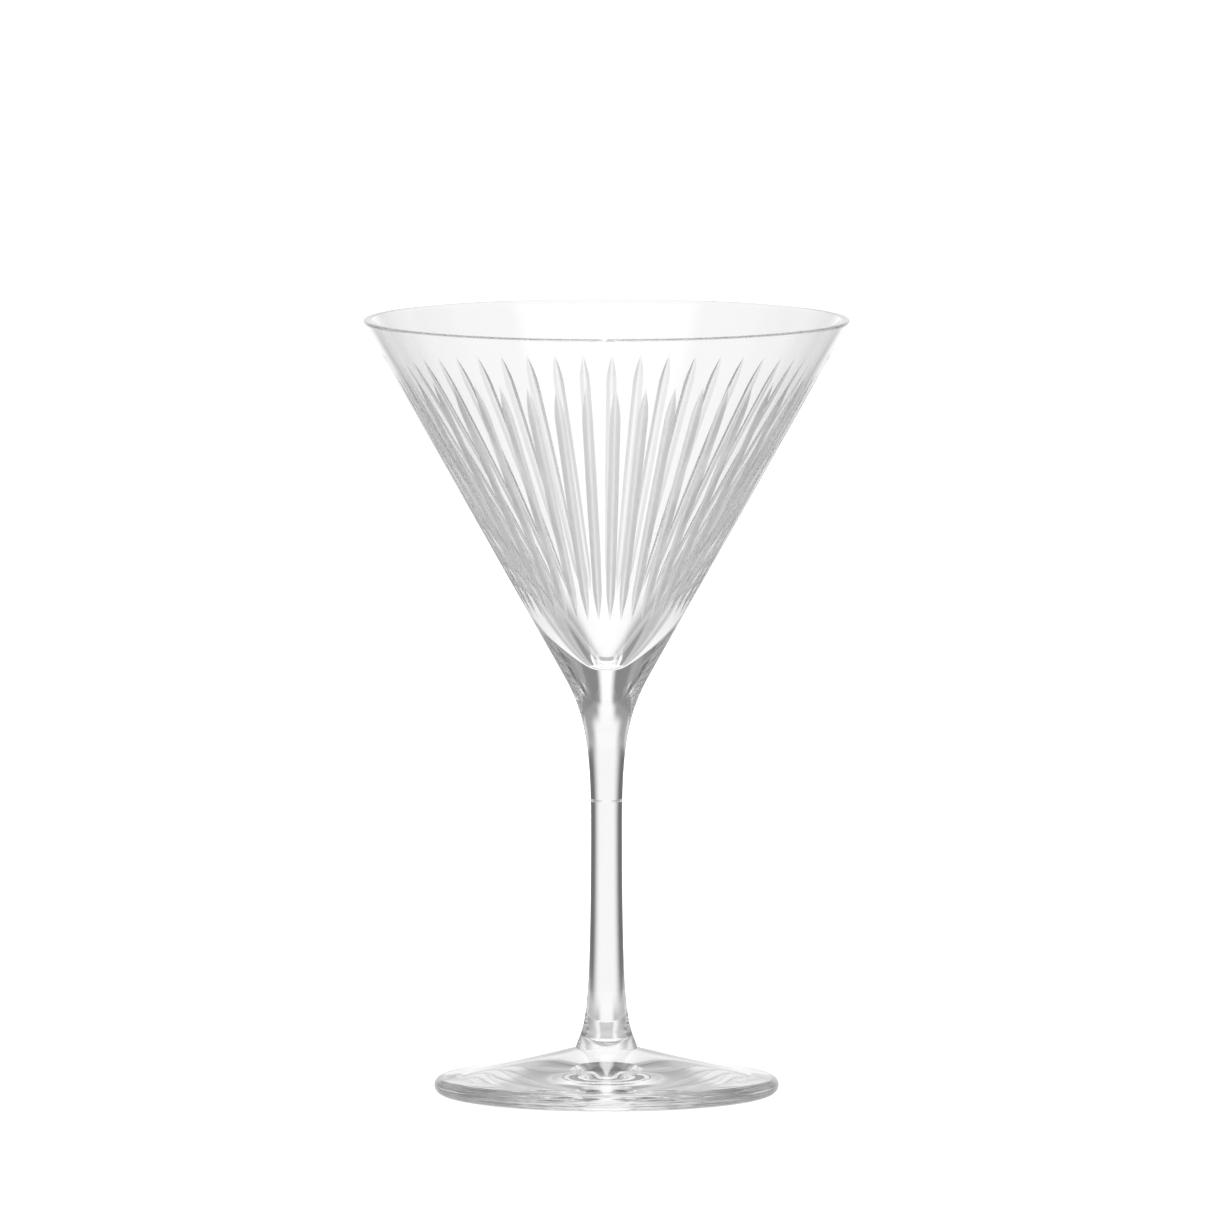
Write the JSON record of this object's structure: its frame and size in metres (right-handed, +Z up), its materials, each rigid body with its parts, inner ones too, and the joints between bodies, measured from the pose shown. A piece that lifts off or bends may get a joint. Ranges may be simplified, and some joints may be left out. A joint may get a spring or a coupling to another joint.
{
  "type": "martini glass",
  "caption": "Clear stemmed cocktail glass: a conical bowl cut outside with a ring of long vertical flutes, on a slim waisted stem and a round sloping foot.",
  "frame": {"origin": "centre of the base, on the plane of the foot's resting ring", "axes": "+Z up the axis of the glass, towards the rim; the glass is turned, so X and Y are any two directions square to it"},
  "size_m": [0.1072, 0.1072, 0.1725],
  "materials": {
    "clear_glass": "polished"
  },
  "bodies": {
    "root": {"bowl": "clear_glass", "neck": "clear_glass", "shank": "clear_glass", "foot": "clear_glass"}
  },
  "joints": []
}
